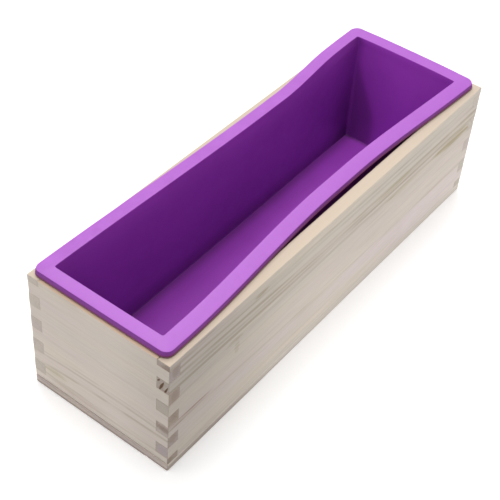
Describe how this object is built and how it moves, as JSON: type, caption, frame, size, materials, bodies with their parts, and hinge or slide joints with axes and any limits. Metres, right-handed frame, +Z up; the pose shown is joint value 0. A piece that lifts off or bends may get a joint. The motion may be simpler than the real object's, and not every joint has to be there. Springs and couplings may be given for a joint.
{
  "type": "soap loaf mould",
  "caption": "Open finger-jointed pine box with a plywood bottom, holding a lift-out silicone loaf liner whose wide rim rests on the box walls.",
  "frame": {"origin": "centre of the box's underside, on the surface it stands on", "axes": "+X along the loaf towards the right end wall, -Y towards the front long wall, +Z up"},
  "size_m": [0.28, 0.0886, 0.0831],
  "materials": {
    "pine": "sanded, unfinished",
    "plywood": "sanded, unfinished, bare ply edges",
    "brad_steel": "plain bright wire",
    "silicone": "matte moulded silicone"
  },
  "bodies": {
    "box": {"front_long_wall": "pine", "rear_long_wall": "pine", "left_end_wall": "pine", "right_end_wall": "pine", "bottom_panel": "plywood", "bottom_brads": "brad_steel"},
    "liner": {"silicone_liner": "silicone"}
  },
  "joints": [
    {"name": "liner_lift", "type": "slide", "parent": "box", "child": "liner", "axis": [0, 0, 1], "range_m": [0, 0.09]}
  ]
}
